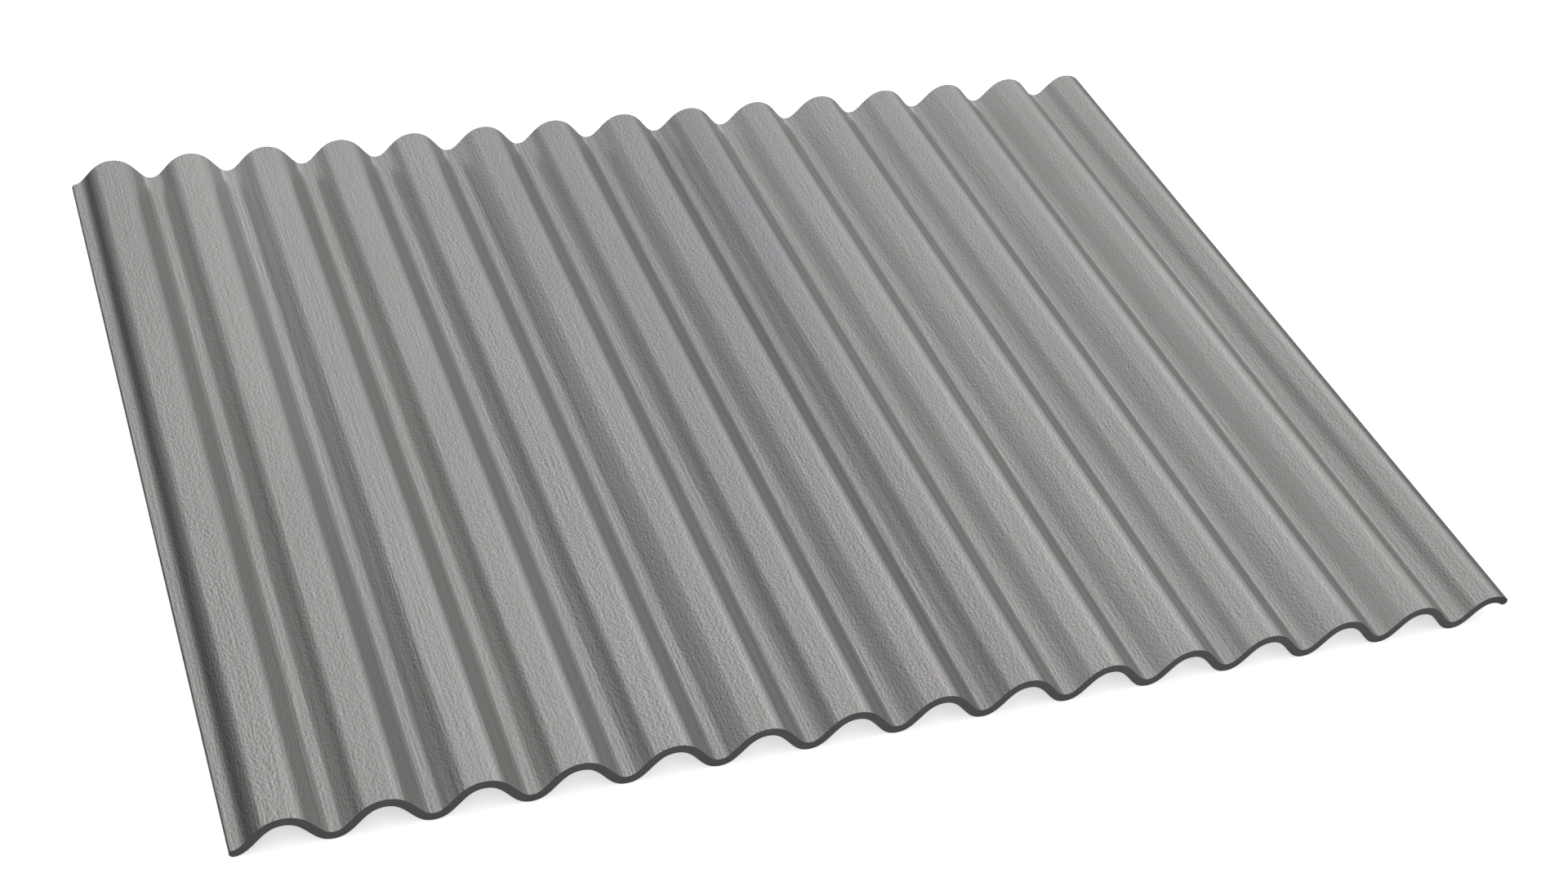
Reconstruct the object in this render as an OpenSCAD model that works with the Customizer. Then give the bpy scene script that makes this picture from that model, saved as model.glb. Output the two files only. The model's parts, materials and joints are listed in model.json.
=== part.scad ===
// Corrugated zinc roofing sheet: one rolled piece with round waves.
// X runs across the waves, Y along them and Z up. The origin is under the middle of the
// sheet, at the height of the floor it lies on.

/* [Wave] */
// Distance from one crest to the next
pitch = 68; // [56:1:100]
// Height from a trough to a crest, on the same face
depth = 22; // [10:1:28]
// Flattening of the crests and troughs, in percent of the depth
flattening = 4.4; // [0:0.1:6]
// Number of crests
crests = 15; // [3:1:20]

/* [Sheet] */
// Length along the waves
sheet_l = 800; // [200:10:1200]
// Thickness of the sheet
sheet_t = 6.8; // [1:0.1:8.2]

/* [Side edges] */
// How far the left edge reaches past the middle of its trough
left_over = 1.5; // [0:0.5:10]
// How far the right edge reaches past the last crest
right_over = 12.5; // [8:0.5:16]
// How far the right edge is pressed below its place on the wave
lip_drop = 3.6; // [0:0.1:6]
// How far before the last crest the right edge starts to sink
lip_run = 27; // [10:1:28]

/* [Facets] */
// Flat strips that each wave is made of, on each face
wave_strips = 24; // [12:2:32]
// Flat strips that each rounded side edge is made of
edge_strips = 8; // [4:2:12]

/* [Hidden] */

zinc_colour = [0.55, 0.55, 0.54];

half_t = sheet_t / 2;
strip_w = pitch / wave_strips;
last_crest_x = (crests - 1) * pitch;
lip_start_x = last_crest_x - lip_run;

// The side edges are half rounds, and these are their centres.
left_centre_x = -pitch / 2 - left_over + half_t;
right_centre_x = last_crest_x + right_over - half_t;

// Height of the underside on the wave that all crests share, with the first crest at x = 0
function wave_z(x) =
    let (turn = 360 * x / pitch, share = flattening / 100)
    depth / 2 * (cos(turn) - share * cos(3 * turn)) / (1 - share);

// The last wave sinks more and more up to the right edge.
function lip_z(x) =
    lip_drop * pow(max(0, x - lip_start_x) / (right_centre_x - lip_start_x), 2);

function under_z(x) = wave_z(x) - lip_z(x);

// Angle of the underside to the level, from two points close to x
function tilt(x, reach = 0.01) = atan((under_z(x + reach) - under_z(x - reach)) / (2 * reach));

// A point above the underside, measured square to it, so that the thickness is even
function above(x, height) =
    let (angle = tilt(x))
    [x - height * sin(angle), under_z(x) + height * cos(angle)];

// The place on the underside that has centre_x half a thickness above it, found step by step
function under_centre(centre_x, guess, steps = 20) =
    steps == 0 ? guess
    : under_centre(centre_x, centre_x + half_t * sin(tilt(guess)), steps - 1);

left_x = under_centre(left_centre_x, left_centre_x);
right_x = under_centre(right_centre_x, right_centre_x);

// Half a turn round the end of the sheet, from the turn angle first
function rounded_edge(x, first) =
    let (centre = above(x, half_t), angle = tilt(x))
    [for (i = [1 : edge_strips - 1])
        let (a = angle + first + 180 * i / edge_strips)
        centre + half_t * [cos(a), sin(a)]];

// The joints between strips lie half a strip beside each crest and trough, which gives every
// crest and every trough a level strip of its own.
first_joint = ceil(left_x / strip_w);
last_joint = floor(right_x / strip_w) - 1;
strip_x = concat(
    [left_x],
    [for (i = [first_joint : last_joint]) (i + 0.5) * strip_w],
    [right_x]
);
count = len(strip_x);

outline = concat(
    [for (x = strip_x) above(x, 0)],
    rounded_edge(right_x, -90),
    [for (i = [count - 1 : -1 : 0]) above(strip_x[i], sheet_t)],
    rounded_edge(left_x, 90)
);

outline_x = [for (p = outline) p[0]];
outline_z = [for (p = outline) p[1]];
middle_x = (min(outline_x) + max(outline_x)) / 2;
lowest_z = min(outline_z);

module corrugated_sheet() {
    color(zinc_colour)
        translate([-middle_x, sheet_l / 2, -lowest_z])
            rotate([90, 0, 0])
                linear_extrude(height = sheet_l)
                    polygon(outline);
}

corrugated_sheet();
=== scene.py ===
"""Corrugated zinc roofing sheet: the modelled sheet, its materials, and the stage it lies on."""

import json
from math import atan, cos, pi, radians, sin

import bmesh
import bpy
from bpy.props import FloatProperty, FloatVectorProperty, IntProperty, PointerProperty
from mathutils import Matrix, Vector


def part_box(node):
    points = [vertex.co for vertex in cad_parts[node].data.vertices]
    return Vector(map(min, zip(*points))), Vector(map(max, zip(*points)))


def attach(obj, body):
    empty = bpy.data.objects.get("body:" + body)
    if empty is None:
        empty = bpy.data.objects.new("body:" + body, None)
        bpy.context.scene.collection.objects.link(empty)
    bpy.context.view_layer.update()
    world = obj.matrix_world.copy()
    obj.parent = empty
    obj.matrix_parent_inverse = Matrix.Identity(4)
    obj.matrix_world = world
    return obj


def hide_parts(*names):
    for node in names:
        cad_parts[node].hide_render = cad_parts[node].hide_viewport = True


bl_info = {
    "name": "Corrugated zinc sheet",
    "version": (1, 0, 0),
    "blender": (4, 5, 0),
    "location": "3D View > Sidebar > Zinc Sheet",
    "description": "Models a corrugated zinc roofing sheet with its finish, floor, lights and camera",
    "category": "Object",
}

NODE = "corrugated_sheet"
BODY = "root"

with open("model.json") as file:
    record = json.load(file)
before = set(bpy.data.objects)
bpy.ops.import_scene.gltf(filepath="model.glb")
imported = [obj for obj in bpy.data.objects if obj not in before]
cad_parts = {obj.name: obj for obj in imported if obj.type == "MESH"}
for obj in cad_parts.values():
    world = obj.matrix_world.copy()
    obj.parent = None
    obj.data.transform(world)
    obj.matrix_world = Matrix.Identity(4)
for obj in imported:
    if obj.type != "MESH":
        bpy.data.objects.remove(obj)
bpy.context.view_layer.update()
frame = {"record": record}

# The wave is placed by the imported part's own mounts: a trough, the crest beside it and the first crest.
MOUNTS = {mount["name"]: Vector(mount["pos_m"]) for mount in frame["record"]["mounts"]}
LOW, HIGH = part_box(NODE)
PITCH = 2 * (MOUNTS["crest_fixing"].x - MOUNTS["purlin_rest"].x)
FIRST_CREST_X = MOUNTS["left_side_lap"].x
CRESTS = int((HIGH.x - FIRST_CREST_X) / PITCH) + 1
LAST_CREST_X = FIRST_CREST_X + (CRESTS - 1) * PITCH

# Thickness of the sheet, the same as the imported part's
SHEET_T = 0.0068

# Places closer than the first of these count as one, and a column of vertices that would rise less than the
# second stays where it is
SAME_PLACE = 1e-5
LEAST_LIFT = 1e-7

# How much of a face's normal, at least, lies along the direction that the face looks in
FACING = 0.9

# How many times the place of a side cut is worked out, each time closer
CUT_STEPS = 20

# How far from a side cut a strip's edge is, at most, that is removed, in thicknesses
CLEAR_STRIP = 0.55

# How much of half the thickness each of the two roundings of a side edge takes, and how close together
# the vertices between the two are, at most, that are made one
ROUNDING_SHARE = 0.997
ROUNDING_GAP = 5e-5

# Faces that meet at less than this angle are shaded as one round surface
SMOOTH_ANGLE = radians(35)

# Tints from left to right: place across the sheet, how much more red and blue than green there is,
# and how bright it is.
TINTS = (
    (-0.500, 0.020, -0.022, 0.96),
    (-0.430, 0.018, -0.024, 1.03),
    (-0.380, 0.018, -0.022, 1.06),
    (-0.358, 0.024, -0.002, 1.06),
    (-0.322, 0.022, -0.002, 1.06),
    (-0.312, 0.018, -0.026, 1.05),
    (-0.278, 0.018, -0.026, 1.05),
    (-0.270, 0.020, -0.008, 1.04),
    (-0.180, 0.022, 0.002, 1.02),
    (-0.060, 0.026, 0.008, 1.00),
    (0.010, 0.028, 0.020, 0.97),
    (0.065, 0.031, 0.030, 0.92),
    (0.094, 0.030, 0.022, 0.95),
    (0.108, 0.018, -0.026, 1.05),
    (0.130, 0.018, -0.014, 1.035),
    (0.240, 0.018, -0.012, 1.03),
    (0.356, 0.020, -0.008, 1.03),
    (0.368, 0.018, -0.024, 1.03),
    (0.440, 0.020, -0.024, 1.02),
    (0.500, 0.018, -0.024, 1.00),
)

# How light a tint of brightness 1 is kept, so that no tint is over 1
TINT_LEVEL = 0.9

# The painted shade and painted light on each wave, from left to right: how much light the painted shade high
# on its left slope takes, how much the painted shade at that slope's foot takes, how much lighter the
# painted light makes its right slope, how far left of the crest the high painted shade lies and half its
# width, both in pitches, and how strong the grain is beside the high painted shade and in it.
WAVE_PAINTED_LIGHT = (
    (0.48, 0.00, 0.10, 0.242, 0.080, 0.84, 0.90),
    (0.42, 0.00, 0.17, 0.250, 0.085, 0.65, 0.87),
    (0.43, 0.12, 0.08, 0.245, 0.085, 0.67, 1.00),
    (0.45, 0.00, 0.07, 0.260, 0.080, 0.60, 0.79),
    (0.46, 0.00, 0.14, 0.270, 0.080, 0.80, 0.80),
    (0.30, 0.15, 0.10, 0.250, 0.095, 0.79, 0.79),
    (0.44, 0.00, 0.14, 0.275, 0.085, 0.71, 0.68),
    (0.28, 0.15, 0.14, 0.275, 0.100, 0.79, 0.73),
    (0.40, 0.22, 0.26, 0.270, 0.090, 0.71, 0.67),
    (0.27, 0.10, 0.26, 0.285, 0.100, 0.69, 0.65),
    (0.165, 0.10, 0.28, 0.300, 0.115, 0.76, 0.68),
    (0.28, 0.08, 0.29, 0.298, 0.085, 0.66, 0.57),
    (0.165, 0.12, 0.39, 0.295, 0.115, 0.56, 0.69),
    (0.16, 0.12, 0.35, 0.300, 0.112, 0.58, 0.36),
    (0.32, 0.00, 0.00, 0.305, 0.085, 0.63, 0.64),
)

# The painted shade high on each left slope: how wide its soft edge is, in pitches, and how much more red
# than green it has, for each share of light that it takes
HIGH_SHADE_EDGE = 0.072
HIGH_SHADE_RED = 0.016

# What the shares above are multiplied by, in front and behind: the high painted shade takes light away and
# the painted light on the right slopes adds it
HIGH_SHADE_ALONG = (-1.15, -0.82)
LIGHT_SLOPE_ALONG = (0.95, 1.50)

# The other bands of each wave, the painted shade at the foot of the left slope, the painted light on the
# right slope, the painted shade on the right shoulder and the painted light at the trough's edge: where each
# lies, in pitches from the crest, half its width, how much further right it lies on each next wave, and how
# much lighter it is
FOOT_SHADE = -0.395
FOOT_SHADE_HALF = 0.060
LIGHT_SLOPE = 0.350
LIGHT_SLOPE_HALF = 0.150
SHOULDER = 0.185
SHOULDER_HALF = 0.060
SHOULDER_STEP = -0.005
SHOULDER_LIGHT = -0.12
TROUGH_EDGE = 0.415
TROUGH_EDGE_HALF = 0.030
TROUGH_EDGE_STEP = 0.0045
TROUGH_EDGE_LIGHT = 0.28

# The part of a band's half width over which it is whole, where nothing else is said
BAND_CORE = 0.1

# The painted shade along the left edge and the painted light along the right edge: where each line lies, in
# pitches from the first crest, half its width, and how much lighter it is, which for the right one is in
# front and behind
LEFT_LINE = -0.320
LEFT_LINE_HALF = 0.060
LEFT_LINE_LIGHT = -0.40
RIGHT_LINE = 14.120
RIGHT_LINE_HALF = 0.060
RIGHT_LINE_LIGHT = (0.20, 0.50)

# The tint of the painted light on the right slopes: how much more red for each share that they are lighter
# by, and how much more blue from one of the waves on, where the first wave is number 0
LIGHT_SLOPE_RED = -0.065
LATE_SLOPE_BLUE = -0.030
LATE_WAVE = 9

# The patch near the left side: its middle, half its width, and how much lighter it is in front and behind
PATCH_X = -0.385
PATCH_HALF = 0.055
PATCH_LIGHT = (-0.05, 0.08)

# The cool patch in the middle: its middle, half its width where it ends and where it begins to fade, and how
# much lighter and how much bluer it is in front and behind
COOL_X = -0.04
COOL_HALF = 0.15
COOL_FULL = 0.10
COOL_LIGHT = (0.01, -0.045)
COOL_BLUE = (-0.010, 0.014)

# How far to either side of a point the height of the humps is taken, to find their slope, which sets their
# painted shading, in their widths
HUMP_SHIFT = 0.15

# How many times longer than wide the drawn-out strands are
STRAND_STRETCH = 30

# The share of the drawn-out strands in the grain, in the troughs and from half the height up, and how much
# larger it is on the one wave that is streaked, where the first wave is number 0
STRAND_SHARE = (0.47, 0.32)
STREAKED_WAVE = 2
STREAKED_SHARE = 0.13

# How strong the grain's painted hump shading is in front and behind, how strong it is on the right slopes,
# which face the lamp, and how much of the surface's normal points right where those begin and where they are
# whole
GRAIN_ALONG = (1.0, 0.82)
GRAIN_ON_SLOPE = 0.8
GRAIN_SLOPE = (0.15, 0.45)

# Nearly all of a noise's values lie between these
NOISE_RANGE = (0.3, 0.7)

# The large soft clouds: their width and length, how dark and light they are, and how much rougher the
# light ones are than the dark ones
CLOUD_SIZE = (0.05, 0.25)
CLOUD_LIGHT = (0.97, 1.03)
CLOUD_ROUGHNESS = 0.02

# The coloured flecks: their width and length, and how far apart their least and most red, green and blue are
FLECK_SIZE = (0.0038, 0.0060)
FLECK_TINT = (0.16, 0.0, 0.36)

# The saw's lines on the cut ends: their width and length, how dark and light and how smooth and rough they
# are, how deep they are, and how much the ends shine
SAW_LINE_SIZE = (0.0006, 0.01)
SAW_LINE_LIGHT = (0.88, 1.12)
SAW_LINE_ROUGHNESS = (0.52, 0.68)
SAW_LINE_DEPTH = 0.00003
CUT_SHINE = 0.25

# How far the edges of the painted shade and light bands and of the patches stray for each whole step in the
# lightness of the grain's strands
BAND_WANDER = 0.002

# The cards beside the sheet: how far they stand off it, how long they are, how wide the left one is and how
# it rises, how high the right one is, how large the end one is, and how grey each is
CARD_GAP = 0.003
CARD_LENGTH = 2.4
LEFT_CARD_WIDTH = 0.45
LEFT_CARD_RISE = radians(9)
LEFT_CARD_GREY = 0.01
RIGHT_CARD_HEIGHT = 0.030
RIGHT_CARD_GREY = 0.45
END_CARD_SIZE = (2.4, 1.2)
END_CARD_GREY = 0.34

# How large the floor is, and how far it lies under the sheet
FLOOR_SIZE = 12
FLOOR_GAP = 0.0002

# Width of the camera's sensor, in millimetres
SENSOR_WIDTH = 36


class SheetSettings(bpy.types.PropertyGroup):
    """Sizes of the sheet"""

    pitch: FloatProperty(
        name="Pitch", description="Distance from one crest to the next",
        default=PITCH, min=0.04, max=0.12, unit="LENGTH")
    thickness: FloatProperty(
        name="Thickness", description="Thickness of the sheet, the same all over",
        default=SHEET_T, min=0.0006, max=0.0082, unit="LENGTH")
    flattening: FloatProperty(
        name="Flattening", description="How much flatter than a plain wave the crests and troughs are",
        default=0.044, min=0.0, max=0.06, subtype="FACTOR")
    lip_drop: FloatProperty(
        name="Lip drop", description="How far the right side edge is pressed below its place on the wave",
        default=0.0036, min=0.0, max=0.006, unit="LENGTH")
    lip_run: FloatProperty(
        name="Lip run", description="How far before the last crest the right side starts to sink",
        default=0.027, min=0.01, max=0.028, unit="LENGTH")
    wave_strips: IntProperty(
        name="Strips per wave", description="Flat strips that each wave is made of",
        default=32, min=12, max=64)
    length_strips: IntProperty(
        name="Strips along", description="Parts that the sheet is divided into along the waves",
        default=16, min=1, max=40)
    edge_segments: IntProperty(
        name="Edge segments", description="Facets on each quarter of the rounded side edges",
        default=5, min=1, max=12)
    cut_bevel: FloatProperty(
        name="Cut edge bevel", description="Width of the worn edge round the cut ends",
        default=0.0003, min=0.0, max=0.001, unit="LENGTH")


class FinishSettings(bpy.types.PropertyGroup):
    """Colours and grain of the zinc"""

    cut_colour: FloatVectorProperty(
        name="Cut ends", description="Colour of the sawn ends",
        subtype="COLOR", size=3, min=0, max=1, default=(0.047, 0.048, 0.050))
    metal: FloatProperty(
        name="Metal", description="How metallic the weathered surface still is",
        default=0.85, min=0, max=1, subtype="FACTOR")
    brightness: FloatProperty(
        name="Brightness", description="How much light the clean zinc throws back",
        default=0.315, min=0, max=1, subtype="FACTOR")
    roughness: FloatProperty(
        name="Roughness", description="Roughness of the weathered surface where it is smoothest",
        default=0.28, min=0, max=1, subtype="FACTOR")
    grain_size: FloatProperty(
        name="Grain size", description="Width of one grain across the waves",
        default=0.00195, min=0.0005, max=0.01, unit="LENGTH")
    grain_stretch: FloatProperty(
        name="Grain stretch", description="How many times longer than wide the grain is",
        default=1.2, min=1, max=10)
    grain_contrast: FloatProperty(
        name="Grain contrast", description="How much lighter one side of the grain is than the other",
        default=2.58, min=0, max=4, subtype="FACTOR")
    grain_depth: FloatProperty(
        name="Grain depth", description="Height of the grain",
        default=0.00004, min=0, max=0.001, unit="LENGTH")
    strand_size: FloatProperty(
        name="Strand width", description="Width of the fine rolling lines along the waves",
        default=0.0018, min=0.0005, max=0.01, unit="LENGTH")


class StageSettings(bpy.types.PropertyGroup):
    """Floor, lights and camera"""

    world_light: FloatProperty(
        name="Room light", description="Strength of the even light from all round",
        default=1.0, min=0, max=3)
    key_power: FloatProperty(
        name="Main lamp", description="Power of the large lamp behind and to the right",
        default=1.6, min=0, max=1000, unit="POWER")
    key_size: FloatProperty(
        name="Lamp size", description="Width of the round main lamp",
        default=1.2, min=0.1, max=5, unit="LENGTH")
    key_distance: FloatProperty(
        name="Lamp distance", description="How far the main lamp is from the middle of the sheet",
        default=3.0, min=0.5, max=20, unit="LENGTH")
    key_direction: FloatVectorProperty(
        name="Lamp direction", description="The way from the middle of the sheet to the main lamp",
        subtype="DIRECTION", size=3, default=(0.66, 0.55, 0.52))
    floor_colour: FloatVectorProperty(
        name="Floor", description="Colour of the floor",
        subtype="COLOR", size=3, min=0, max=1, default=(0.86, 0.86, 0.86))
    floor_glow: FloatProperty(
        name="Floor glow", description="White added to what the camera and reflections see of the floor",
        default=0.5, min=0, max=1, subtype="FACTOR")
    camera_place: FloatVectorProperty(
        name="Camera", description="Where the camera stands",
        subtype="TRANSLATION", size=3, default=(-0.64315, -1.4582, 1.23052))
    camera_bearing: FloatProperty(
        name="Bearing", description="How far right of the waves' own direction the camera looks",
        default=radians(25.189), subtype="ANGLE")
    camera_dip: FloatProperty(
        name="Dip", description="How far down the camera looks",
        default=radians(38.69), subtype="ANGLE")
    camera_roll: FloatProperty(
        name="Roll", description="How far the camera is turned round its own line of sight",
        default=radians(8.32), subtype="ANGLE")
    camera_lens: FloatProperty(
        name="Lens", description="Focal length of the camera",
        default=54.746, min=10, max=300, unit="CAMERA")


def wave_height(settings, x):
    """Height of the underside above the troughs, where the first crest is at x = 0."""
    turn = 2 * pi * x / settings.pitch
    share = settings.flattening
    depth = HIGH.z - LOW.z - settings.thickness
    return depth / 2 * (1 + (cos(turn) - share * cos(3 * turn)) / (1 - share))


def lip_height(settings, x):
    """How far the underside is pressed down near the right side edge."""
    start = (CRESTS - 1) * settings.pitch - settings.lip_run
    reach = HIGH.x - FIRST_CREST_X - settings.thickness / 2 - start
    return settings.lip_drop * (max(0, x - start) / reach) ** 2


def underside(settings, x):
    """Height of the underside above the troughs, with the right side edge pressed down."""
    return wave_height(settings, x) - lip_height(settings, x)


def tilt(settings, x, reach=1e-5):
    """Angle of the underside to the level."""
    return atan((underside(settings, x + reach) - underside(settings, x - reach)) / (2 * reach))


def deselect_objects():
    """Leaves edit mode, if it is on, with nothing selected."""
    if bpy.context.object and bpy.context.object.mode != "OBJECT":
        bpy.ops.object.mode_set(mode="OBJECT")
    bpy.ops.object.select_all(action="DESELECT")


def select_parts(kind, wanted):
    """Selects the vertices, edges or faces of the edited mesh for which wanted(part) is true."""
    bpy.ops.mesh.select_mode(type={"verts": "VERT", "edges": "EDGE", "faces": "FACE"}[kind])
    bpy.ops.mesh.select_all(action="DESELECT")
    mesh = bmesh.from_edit_mesh(bpy.context.object.data)
    for part in getattr(mesh, kind):
        part.select_set(wanted(part))
    mesh.select_flush_mode()
    bmesh.update_edit_mesh(bpy.context.object.data, loop_triangles=False, destructive=False)


def apply_modifier(kind, **values):
    """Adds a modifier with the given settings to the active object and applies it."""
    modifier = bpy.context.object.modifiers.new(kind.title(), kind)
    for name, value in values.items():
        setattr(modifier, name, value)
    bpy.ops.object.modifier_apply(modifier=modifier.name)


def add_flat_strip(settings):
    """One pitch of flat sheet, from trough to trough, with a row of vertices at each strip's edge."""
    bpy.ops.mesh.primitive_grid_add(
        x_subdivisions=settings.wave_strips, y_subdivisions=settings.length_strips, size=1)
    strip = bpy.context.object
    strip.name = "zinc_sheet"
    strip.dimensions = (settings.pitch, HIGH.y - LOW.y, 0)
    strip.location = (FIRST_CREST_X - settings.pitch, (LOW.y + HIGH.y) / 2, 0)
    bpy.ops.object.transform_apply(location=True, rotation=False, scale=True)
    return strip


def raise_columns(settings, crest_x, height):
    """Lifts each column of vertices of the wave round one crest by its own height."""
    first_x = crest_x - settings.pitch / 2
    step = settings.pitch / settings.wave_strips
    for column in range(settings.wave_strips + 1):
        x = first_x + column * step
        lift = height(x - FIRST_CREST_X)
        if abs(lift) < LEAST_LIFT:
            continue
        select_parts("verts", lambda vert: abs(vert.co.x - x) < step / 4)
        bpy.ops.transform.translate(value=(0, 0, lift))


def side_cut(settings, side):
    """Middle of a side edge's face before it is rounded, and the direction out of the sheet there.
    The edge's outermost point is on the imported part's box."""
    outermost = (HIGH.x if side > 0 else LOW.x) - FIRST_CREST_X
    half = settings.thickness / 2
    x = centre_x = outermost - side * half
    for _ in range(CUT_STEPS):
        x = centre_x + half * sin(tilt(settings, x))
    angle = tilt(settings, x)
    centre = Vector((FIRST_CREST_X + x - half * sin(angle), 0, underside(settings, x) + half * cos(angle)))
    outward = Vector((side * cos(angle), 0, side * sin(angle)))
    return centre + outward * half, outward


def trim_sides(settings):
    """Cuts the row of waves square to its surface at both side edges, and merges the strips close beside
    each cut, so that the rounding of the edge has one wide strip to lie in."""
    for side in (-1, 1):
        place, outward = side_cut(settings, side)
        bpy.ops.mesh.select_all(action="SELECT")
        bpy.ops.mesh.bisect(plane_co=place, plane_no=outward, clear_outer=True, use_fill=False)

        def is_too_near(edge):
            first, second = (vert.co for vert in edge.verts)
            inward = (place - first).dot(outward)
            runs_along = abs(first.x - second.x) < SAME_PLACE
            on_this_side = abs(first.x - place.x) < settings.pitch / 4
            return on_this_side and runs_along and SAME_PLACE < inward < settings.thickness * CLEAR_STRIP

        select_parts("edges", is_too_near)
        bpy.ops.mesh.dissolve_edges(use_verts=True)


def round_side_edges(settings):
    """Rolls both side edges into half rounds."""
    for side in (-1, 1):
        place, outward = side_cut(settings, side)

        def on_rim(face):
            middle = face.calc_center_median()
            near = (Vector((middle.x, 0, middle.z)) - place).length < settings.thickness / 2
            return near and face.normal.dot(outward) > FACING

        def is_corner(edge):
            runs_along = abs(edge.verts[0].co.y - edge.verts[1].co.y) > SAME_PLACE
            return runs_along and sum(on_rim(face) for face in edge.link_faces) == 1

        select_parts("edges", is_corner)
        bpy.ops.mesh.bevel(
            offset=settings.thickness / 2 * ROUNDING_SHARE, segments=settings.edge_segments,
            profile=0.5, affect="EDGES")
    bpy.ops.mesh.select_all(action="SELECT")
    bpy.ops.mesh.remove_doubles(threshold=ROUNDING_GAP)


def finish_cut_ends(settings):
    """Gives both cut ends their own material and a worn edge."""
    select_parts("faces", lambda face: abs(face.normal.y) > FACING)
    bpy.context.object.active_material_index = 1
    bpy.ops.object.material_slot_assign()
    bpy.ops.mesh.region_to_loop()
    if settings.cut_bevel:
        bpy.ops.mesh.bevel(offset=settings.cut_bevel, segments=1, affect="EDGES")


def model_sheet(settings):
    """The whole sheet, from a flat strip to one solid with rounded sides."""
    deselect_objects()
    sheet = add_flat_strip(settings)
    sheet.data.materials.append(bpy.data.materials["weathered_zinc"])
    sheet.data.materials.append(bpy.data.materials["cut_zinc"])
    bpy.ops.object.mode_set(mode="EDIT")
    raise_columns(settings, FIRST_CREST_X - settings.pitch, lambda x: wave_height(settings, x))
    bpy.ops.object.mode_set(mode="OBJECT")
    apply_modifier(
        "ARRAY", count=CRESTS + 2, use_relative_offset=False, use_constant_offset=True,
        constant_offset_displace=(settings.pitch, 0, 0), use_merge_vertices=True,
        merge_threshold=SAME_PLACE)
    bpy.ops.object.mode_set(mode="EDIT")
    raise_columns(settings, LAST_CREST_X, lambda x: -lip_height(settings, x))
    trim_sides(settings)
    bpy.ops.object.mode_set(mode="OBJECT")
    apply_modifier("SOLIDIFY", thickness=settings.thickness, offset=1, use_even_offset=True)
    bpy.ops.object.mode_set(mode="EDIT")
    round_side_edges(settings)
    finish_cut_ends(settings)
    bpy.ops.object.mode_set(mode="OBJECT")
    bpy.ops.object.shade_smooth_by_angle(angle=SMOOTH_ANGLE)
    return sheet


def new_material(name):
    """An empty material's node tree and its shader."""
    material = bpy.data.materials.new(name)
    material.use_nodes = True
    return material.node_tree, material.node_tree.nodes["Principled BSDF"]


def feed(tree, node, inputs):
    """Sets each named or numbered input of a node to a value, or links it to another node's output."""
    for name, value in inputs.items():
        if isinstance(value, bpy.types.NodeSocket):
            tree.links.new(value, node.inputs[name])
        else:
            node.inputs[name].default_value = value


def add(tree, kind, inputs, output=0, **values):
    """Adds a node, feeds its inputs, sets its own values and returns one of its outputs."""
    node = tree.nodes.new("ShaderNode" + kind)
    for name, value in values.items():
        setattr(node, name, value)
    feed(tree, node, inputs)
    return node.outputs[output]


def sums(tree, operation, first, second=0.0):
    """One step of arithmetic on one or two numbers."""
    return add(tree, "Math", {0: first, 1: second}, operation=operation)


def times_plus(tree, value, times, plus):
    """The value multiplied by one number and added to another."""
    return add(tree, "Math", {0: value, 1: times, 2: plus}, operation="MULTIPLY_ADD")


def blend(tree, share, first, second):
    """The first number where the share is 0, the second where it is 1, and a mix of both between."""
    return add(tree, "Mix", {"Factor": share, "A": first, "B": second}, "Result", data_type="FLOAT")


def spread(tree, value, low, high, to_low=0.0, to_high=1.0):
    """The value moved from one range to another and held inside it, with soft ends."""
    return add(
        tree, "MapRange",
        {"Value": value, "From Min": low, "From Max": high, "To Min": to_low, "To Max": to_high},
        interpolation_type="SMOOTHSTEP")


def stretched(tree, place, width, length):
    """The place counted in widths across the waves and upwards, and in lengths along the waves."""
    return add(tree, "Mapping", {"Vector": place, "Scale": (1 / width, 1 / length, 1 / width)})


def noise(tree, vector, detail=2.0):
    """Soft humps and hollows about as wide as one step of the vector."""
    return add(tree, "TexNoise", {"Vector": vector, "Scale": 1.0, "Detail": detail}, "Fac")


def painted_hump_shading(tree, place, across):
    """Painted shading of small humps: light and dark on their two sides, as their slope along the surface,
    across the waves.
    """
    step = add(tree, "VectorMath", {0: across, "Scale": HUMP_SHIFT}, "Vector", operation="SCALE")
    ahead = add(tree, "VectorMath", {0: place, 1: step}, "Vector", operation="ADD")
    behind = add(tree, "VectorMath", {0: place, 1: step}, "Vector", operation="SUBTRACT")
    return sums(tree, "SUBTRACT", noise(tree, ahead, detail=0.0), noise(tree, behind, detail=0.0))


def along(tree, y, ends):
    """The number that changes softly from its value at the front end to its value at the back end."""
    return spread(tree, y, LOW.y, HIGH.y, *ends)


def colour_ramp(tree, position, stops, interpolation="LINEAR"):
    """The colour and alpha outputs of a ramp, where each stop is its place on the ramp and its colour."""
    output = add(tree, "ValToRGB", {"Fac": position})
    ramp = output.node.color_ramp
    ramp.interpolation = interpolation
    for index, (place, colour) in enumerate(stops):
        stop = ramp.elements[index] if index < 2 else ramp.elements.new(place)
        stop.position = place
        stop.color = colour
    return output.node.outputs


def tint_across(tree, x):
    """The slow change of tint from one side of the sheet to the other."""
    position = add(tree, "MapRange", {"Value": x, "From Min": LOW.x, "From Max": HIGH.x})
    stops = []
    for place, red, blue, bright in TINTS:
        green = TINT_LEVEL * bright
        stops.append((
            (place - LOW.x) / (HIGH.x - LOW.x), (green * (1 + red), green, green * (1 + blue), 1)))
    return colour_ramp(tree, position, stops)["Color"]


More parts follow.
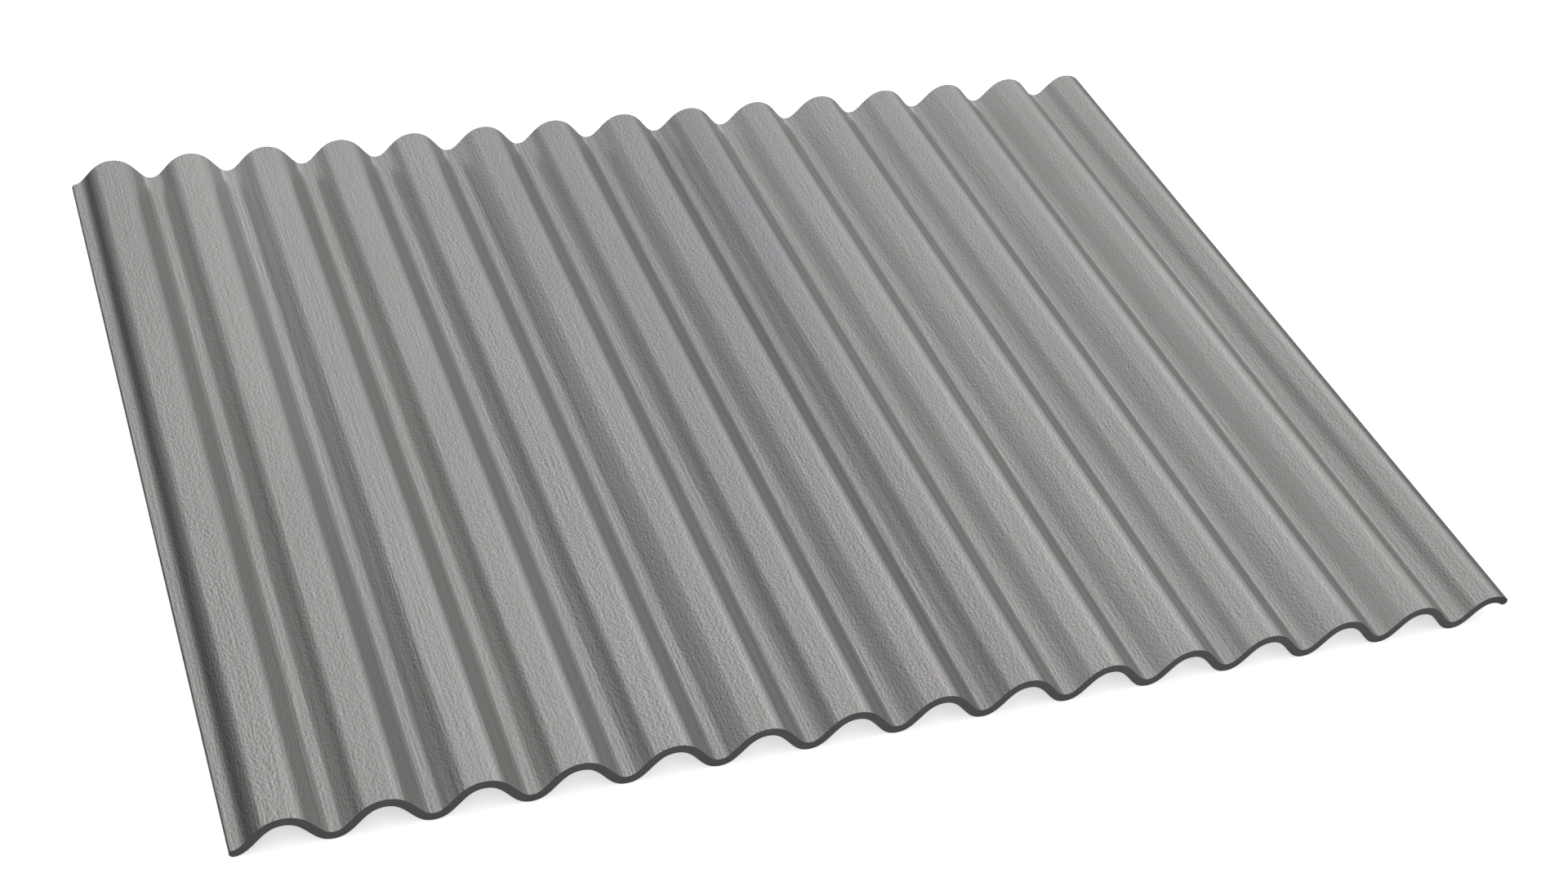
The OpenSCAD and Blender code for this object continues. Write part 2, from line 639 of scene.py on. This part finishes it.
def inside(tree, place, middle, half_width, full=None):
    """1 over the full half-width of a band, which fades to 0 where the band ends."""
    away = sums(tree, "ABSOLUTE", sums(tree, "SUBTRACT", place, middle))
    core = half_width * BAND_CORE if full is None else full
    return spread(tree, away, core, half_width, 1.0, 0.0)


def band(tree, place, middle, half_width, share, full=None):
    """The light thrown back near one band, where the share says how much lighter the band is."""
    return times_plus(tree, inside(tree, place, middle, half_width, full), share, 1.0)


def by_wave(tree, wave, rows):
    """The four numbers of the wave's own row, read as the colour and alpha of a ramp with a step for each
    wave."""
    position = times_plus(tree, wave, 1 / CRESTS, 0.5 / CRESTS)
    stops = [(index / CRESTS, row) for index, row in enumerate(rows)]
    colour, fourth = colour_ramp(tree, position, stops, interpolation="CONSTANT")
    first, second, third = add(tree, "SeparateColor", {"Color": colour}).node.outputs
    return first, second, third, fourth


def slope_tint(tree, x, y, place, wave, light_slope, high_painted_shade):
    """The tint of the painted light on the right slopes, of the painted shade high on the left slopes, and
    of the cool patch.
    """
    slope_red = times_plus(tree, light_slope, LIGHT_SLOPE_RED, 1 - LIGHT_SLOPE_RED)
    shade_red = times_plus(tree, high_painted_shade, -HIGH_SHADE_RED, 1 + HIGH_SHADE_RED)
    late = spread(tree, wave, LATE_WAVE - 1, LATE_WAVE, 0.0, LATE_SLOPE_BLUE)
    blue = sums(
        tree, "MULTIPLY", band(tree, place, LIGHT_SLOPE, LIGHT_SLOPE_HALF, late),
        band(tree, x, COOL_X, COOL_HALF, along(tree, y, COOL_BLUE), full=COOL_FULL))
    return add(
        tree, "CombineXYZ", {"X": sums(tree, "MULTIPLY", slope_red, shade_red), "Y": 1.0, "Z": blue})


def weathered(tree, x, y):
    """The share of light that the painted shade and painted light of each wave and of the side edges, and
    the two patches, throw back, the tint that they give, how strong the grain is on this wave, and how much
    larger its share of strands is."""
    turns = times_plus(tree, x, 1 / PITCH, -FIRST_CREST_X / PITCH)
    wave = sums(tree, "ROUND", turns)
    place = sums(tree, "SUBTRACT", turns, wave)
    high, foot, light, high_place = by_wave(tree, wave, [row[:4] for row in WAVE_PAINTED_LIGHT])
    high_half, grain_beside_shade, grain_in_shade, _ = by_wave(
        tree, wave, [(*row[4:], 1) for row in WAVE_PAINTED_LIGHT])
    # The painted shade high on the left slope, with a soft edge
    in_high_shade = inside(
        tree, place, sums(tree, "MULTIPLY", high_place, -1.0), high_half,
        full=sums(tree, "SUBTRACT", high_half, HIGH_SHADE_EDGE))
    high = sums(tree, "MULTIPLY", high, along(tree, y, HIGH_SHADE_ALONG))
    high_painted_shade = times_plus(tree, in_high_shade, high, 1.0)
    # Painted shade at the foot of the left slope
    foot = sums(tree, "MULTIPLY", foot, -1.0)
    # Painted light on the right slope, stronger behind
    light = sums(tree, "MULTIPLY", light, along(tree, y, LIGHT_SLOPE_ALONG))
    light_slope = band(tree, place, LIGHT_SLOPE, LIGHT_SLOPE_HALF, light)
    shoulder = times_plus(tree, wave, SHOULDER_STEP, SHOULDER)
    trough_edge = times_plus(tree, wave, TROUGH_EDGE_STEP, TROUGH_EDGE)
    level = sums(tree, "MULTIPLY", light_slope, high_painted_shade)
    # The patches, the painted shade along the left edge, the painted light along the right edge, the painted
    # shade at the foot and on the right shoulder, and the painted light at the trough's edge
    for area in (
            band(tree, x, PATCH_X, PATCH_HALF, along(tree, y, PATCH_LIGHT)),
            band(tree, x, COOL_X, COOL_HALF, along(tree, y, COOL_LIGHT), full=COOL_FULL),
            band(tree, turns, LEFT_LINE, LEFT_LINE_HALF, LEFT_LINE_LIGHT),
            band(tree, turns, RIGHT_LINE, RIGHT_LINE_HALF, along(tree, y, RIGHT_LINE_LIGHT)),
            band(tree, place, FOOT_SHADE, FOOT_SHADE_HALF, foot),
            band(tree, place, shoulder, SHOULDER_HALF, SHOULDER_LIGHT),
            band(tree, place, trough_edge, TROUGH_EDGE_HALF, TROUGH_EDGE_LIGHT)):
        level = sums(tree, "MULTIPLY", level, area)
    tint = slope_tint(tree, x, y, place, wave, light_slope, high_painted_shade)
    grain_share = blend(tree, in_high_shade, grain_beside_shade, grain_in_shade)
    streaked = inside(tree, wave, STREAKED_WAVE, 0.5)
    return level, tint, grain_share, sums(tree, "MULTIPLY", streaked, STREAKED_SHARE)


def make_zinc(finish):
    """Dull zinc: tinted bands, painted shade and painted light on the slopes of each wave, and a pebbled
    grain drawn out by the rolls, painted as the shading of its small humps.
    """
    tree, surface = new_material("weathered_zinc")
    place = add(tree, "TexCoord", {}, "Object")
    x, y, z = add(tree, "SeparateXYZ", {"Vector": place}).node.outputs
    normal = add(tree, "TexCoord", {}, "Normal")
    facing, _, upward = add(tree, "SeparateXYZ", {"Vector": normal}).node.outputs
    # The way along the surface to the right, across the waves
    across = add(tree, "CombineXYZ", {"X": upward, "Z": sums(tree, "MULTIPLY", facing, -1.0)})
    grain_length = finish.grain_size * finish.grain_stretch
    # The grain's humps are painted as shading in the colour, lighter on one side and darker on the other;
    # the same values also drive the bump
    pebbles = painted_hump_shading(tree, stretched(tree, place, finish.grain_size, grain_length), across)
    strand_length = finish.strand_size * STRAND_STRETCH
    strands = painted_hump_shading(tree, stretched(tree, place, finish.strand_size, strand_length), across)

    wander = sums(tree, "MULTIPLY", strands, BAND_WANDER)
    # The painted shade and painted light of each wave, their tint, and the grain's strength there
    painted_light, painted_light_tint, grain_share, streaks = weathered(tree, sums(tree, "ADD", x, wander), y)

    drawn = spread(
        tree, z, LOW.z + SHEET_T, (LOW.z + HIGH.z) / 2 + SHEET_T / 2, *STRAND_SHARE)
    grain = blend(tree, sums(tree, "ADD", drawn, streaks), pebbles, strands)
    strength = spread(
        tree, facing, *GRAIN_SLOPE, finish.grain_contrast, finish.grain_contrast * GRAIN_ON_SLOPE)
    strength = sums(tree, "MULTIPLY", strength, grain_share)
    strength = sums(tree, "MULTIPLY", strength, along(tree, y, GRAIN_ALONG))
    grain = sums(tree, "MULTIPLY", grain, strength)

    clouds = noise(tree, stretched(tree, place, *CLOUD_SIZE), detail=3.0)
    shade = sums(tree, "ADD", 1.0, grain)
    shade = sums(tree, "MULTIPLY", shade, spread(tree, clouds, *NOISE_RANGE, *CLOUD_LIGHT))
    # The painted shade and painted light go into the colour here
    shade = sums(tree, "MULTIPLY", shade, painted_light)
    level = sums(tree, "MULTIPLY", shade, finish.brightness / TINT_LEVEL)
    specks = noise(tree, stretched(tree, place, *FLECK_SIZE), detail=3.0)
    fleck = add(
        tree, "VectorMath", {0: specks, 1: FLECK_TINT, 2: tuple(1 - part / 2 for part in FLECK_TINT)},
        "Vector", operation="MULTIPLY_ADD")
    tint = add(
        tree, "VectorMath", {0: tint_across(tree, x), 1: fleck}, "Vector", operation="MULTIPLY")
    tint = add(tree, "VectorMath", {0: tint, 1: painted_light_tint}, "Vector", operation="MULTIPLY")
    colour = add(tree, "VectorMath", {0: tint, "Scale": level}, "Vector", operation="SCALE")

    bump = add(
        tree, "Bump", {"Height": grain, "Distance": finish.grain_depth, "Strength": 1.0}, "Normal")
    roughness = spread(
        tree, clouds, *NOISE_RANGE, finish.roughness, finish.roughness + CLOUD_ROUGHNESS)
    feed(tree, surface, {
        "Base Color": colour, "Metallic": finish.metal, "Roughness": roughness, "Normal": bump})


def make_cut_zinc(finish):
    """The sawn ends: dark and dull, with the saw's fine lines down their height."""
    tree, surface = new_material("cut_zinc")
    place = add(tree, "TexCoord", {}, "Object")
    lines = noise(tree, stretched(tree, place, *SAW_LINE_SIZE))
    shade = spread(tree, lines, *NOISE_RANGE, *SAW_LINE_LIGHT)
    colour = add(
        tree, "VectorMath", {0: tuple(finish.cut_colour), "Scale": shade}, "Vector", operation="SCALE")
    roughness = spread(tree, lines, *NOISE_RANGE, *SAW_LINE_ROUGHNESS)
    bump = add(tree, "Bump", {"Height": lines, "Distance": SAW_LINE_DEPTH}, "Normal")
    feed(tree, surface, {
        "Base Color": colour, "Roughness": roughness, "Specular IOR Level": CUT_SHINE, "Normal": bump})


class ZINC_OT_finishes(bpy.types.Operator):
    """Make the materials of the sheet"""

    bl_idname = "zinc.finishes"
    bl_label = "Make finishes"

    def execute(self, context):
        make_zinc(context.scene.zinc_finish)
        make_cut_zinc(context.scene.zinc_finish)
        return {"FINISHED"}


class ZINC_OT_sheet(bpy.types.Operator):
    """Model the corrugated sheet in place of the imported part's own node"""

    bl_idname = "zinc.sheet"
    bl_label = "Model sheet"

    def execute(self, context):
        sheet = model_sheet(context.scene.zinc_sheet)
        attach(sheet, BODY)
        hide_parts(NODE)
        return {"FINISHED"}


def seen_share(tree):
    """1 for the rays of the camera and of reflections and clear materials, and 0 for all others."""
    path = add(tree, "LightPath", {}).node.outputs
    seen = sums(tree, "MAXIMUM", path["Is Camera Ray"], path["Is Glossy Ray"])
    return sums(tree, "MAXIMUM", seen, path["Is Transmission Ray"])


def make_world(stage):
    """Even white light from all round."""
    world = bpy.data.worlds.new("room_light")
    bpy.context.scene.world = world
    world.use_nodes = True
    tree = world.node_tree
    background = tree.nodes["Background"]
    strength = blend(tree, seen_share(tree), stage.world_light, 1.0)
    feed(tree, background, {"Color": (1, 1, 1, 1), "Strength": strength})


def make_floor(stage):
    """A pale floor just under the sheet, which keeps its shadow."""
    deselect_objects()
    bpy.ops.mesh.primitive_plane_add(size=FLOOR_SIZE, location=(0, 0, LOW.z - FLOOR_GAP))
    floor = bpy.context.object
    floor.name = "floor"
    bpy.ops.object.transform_apply(location=True, rotation=False, scale=False)
    tree, surface = new_material("pale_floor")
    glow = sums(tree, "MULTIPLY", seen_share(tree), stage.floor_glow)
    feed(tree, surface, {
        "Base Color": (*stage.floor_colour, 1), "Roughness": 1.0, "Specular IOR Level": 0.0,
        "Emission Color": (1, 1, 1, 1), "Emission Strength": glow})
    floor.data.materials.append(bpy.data.materials["pale_floor"])


def make_lamp(stage):
    """A large round lamp that faces the middle of the sheet."""
    deselect_objects()
    direction = Vector(stage.key_direction).normalized()
    bpy.ops.object.light_add(type="AREA", location=direction * stage.key_distance)
    lamp = bpy.context.object
    lamp.name = "main_lamp"
    lamp.rotation_euler = direction.to_track_quat("Z", "Y").to_euler()
    lamp.data.shape = "DISK"
    lamp.data.size = stage.key_size
    lamp.data.energy = stage.key_power


def make_card(name, size, location, turn, grey):
    """A card beside the sheet that only the metal's reflections see."""
    deselect_objects()
    bpy.ops.mesh.primitive_plane_add(size=1, location=location, rotation=turn)
    card = bpy.context.object
    card.name = name
    card.scale = (*size, 1)
    bpy.ops.object.transform_apply(location=True, rotation=True, scale=True)
    tree, surface = new_material(name)
    feed(tree, surface, {"Base Color": (grey, grey, grey, 1), "Specular IOR Level": 0.0, "Roughness": 1.0})
    card.data.materials.append(bpy.data.materials[name])
    for ray in ("camera", "diffuse", "transmission", "volume_scatter", "shadow"):
        setattr(card, "visible_" + ray, False)


def make_cards():
    """A black card that rises away from the left side of the sheet, a low grey one that stands along its
    right side, and a grey one that lies on the floor behind it."""
    half = LEFT_CARD_WIDTH / 2
    make_card(
        "left_card", (LEFT_CARD_WIDTH, CARD_LENGTH),
        (LOW.x - CARD_GAP - half * cos(LEFT_CARD_RISE), 0, half * sin(LEFT_CARD_RISE)),
        (0, LEFT_CARD_RISE, 0), LEFT_CARD_GREY)
    make_card(
        "right_card", (RIGHT_CARD_HEIGHT, CARD_LENGTH),
        (HIGH.x + CARD_GAP, 0, RIGHT_CARD_HEIGHT / 2), (0, pi / 2, 0), RIGHT_CARD_GREY)
    make_card(
        "end_card", END_CARD_SIZE, (0, HIGH.y + CARD_GAP + END_CARD_SIZE[1] / 2, LOW.z), (0, 0, 0),
        END_CARD_GREY)


def make_camera(stage):
    """The camera, aimed from its place by its bearing, dip and roll."""
    deselect_objects()
    bpy.ops.object.camera_add()
    camera = bpy.context.object
    camera.name = "camera"
    turn = (Matrix.Rotation(-stage.camera_bearing, 4, "Z")
            @ Matrix.Rotation(pi / 2 - stage.camera_dip, 4, "X")
            @ Matrix.Rotation(stage.camera_roll, 4, "Z"))
    camera.matrix_world = Matrix.Translation(stage.camera_place) @ turn
    camera.data.lens = stage.camera_lens
    camera.data.sensor_width = SENSOR_WIDTH
    bpy.context.scene.camera = camera


class ZINC_OT_stage(bpy.types.Operator):
    """Set the floor, the light and the camera"""

    bl_idname = "zinc.stage"
    bl_label = "Set stage"

    def execute(self, context):
        stage = context.scene.zinc_stage
        make_world(stage)
        make_floor(stage)
        make_lamp(stage)
        make_cards()
        make_camera(stage)
        context.scene.view_settings.view_transform = "Standard"
        return {"FINISHED"}


class ZINC_PT_panel(bpy.types.Panel):
    """Sizes, finishes and stage of the zinc sheet"""

    bl_idname = "ZINC_PT_panel"
    bl_label = "Zinc sheet"
    bl_space_type = "VIEW_3D"
    bl_region_type = "UI"
    bl_category = "Zinc Sheet"

    def draw(self, context):
        for settings, operator in (
                (context.scene.zinc_finish, ZINC_OT_finishes),
                (context.scene.zinc_sheet, ZINC_OT_sheet),
                (context.scene.zinc_stage, ZINC_OT_stage)):
            column = self.layout.column(align=True)
            for name in settings.__annotations__:
                column.prop(settings, name)
            column.operator(operator.bl_idname)


CLASSES = (
    SheetSettings, FinishSettings, StageSettings,
    ZINC_OT_finishes, ZINC_OT_sheet, ZINC_OT_stage, ZINC_PT_panel)


def register():
    for cls in CLASSES:
        bpy.utils.register_class(cls)
    bpy.types.Scene.zinc_sheet = PointerProperty(type=SheetSettings)
    bpy.types.Scene.zinc_finish = PointerProperty(type=FinishSettings)
    bpy.types.Scene.zinc_stage = PointerProperty(type=StageSettings)


def unregister():
    del bpy.types.Scene.zinc_sheet, bpy.types.Scene.zinc_finish, bpy.types.Scene.zinc_stage
    for cls in reversed(CLASSES):
        bpy.utils.unregister_class(cls)


def main():
    register()
    bpy.ops.zinc.finishes()
    bpy.ops.zinc.sheet()
    bpy.ops.zinc.stage()


if __name__ == "__main__":
    main()
